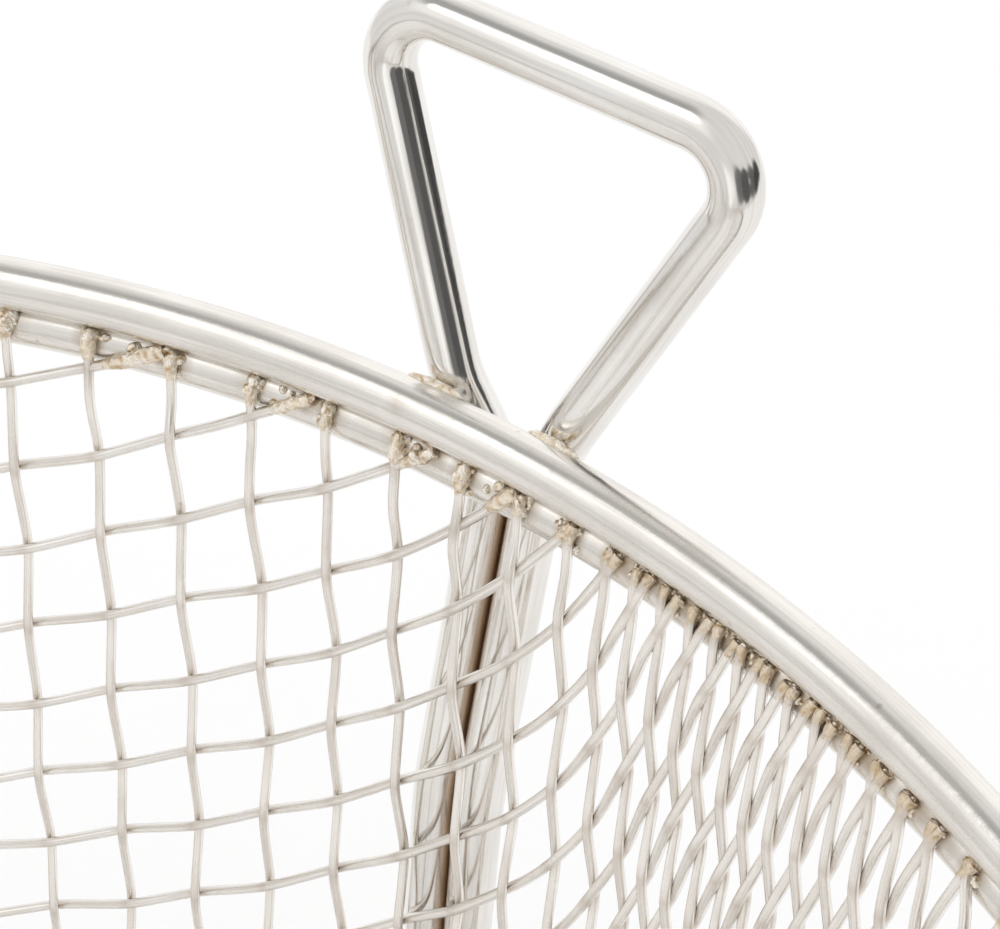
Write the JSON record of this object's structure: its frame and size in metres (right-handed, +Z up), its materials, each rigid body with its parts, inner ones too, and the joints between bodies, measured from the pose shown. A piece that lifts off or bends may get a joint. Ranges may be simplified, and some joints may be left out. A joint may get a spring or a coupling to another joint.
{
  "type": "deep fryer basket",
  "caption": "Round fryer basket: a pressed woven wire bowl under a bead ring and a thick rim ring, with a bent wire that makes the front hook, the cradle and a long loop handle.",
  "frame": {"origin": "on the table, below the middle of the bowl", "axes": "+X from the bowl's middle to the front hook, with the handle at -X; +Z up; +Y completes the right-handed frame"},
  "size_m": [0.43, 0.2046, 0.2001],
  "materials": {
    "woven_wire": "bright nickel plate, warm and slightly dulled",
    "ring_wire": "bright nickel plate",
    "carrier_wire": "bright nickel plate"
  },
  "bodies": {
    "root": {"mesh_bowl": "woven_wire", "bead_ring": "ring_wire", "rim_ring": "ring_wire", "carrier_wire": "carrier_wire"}
  },
  "joints": []
}
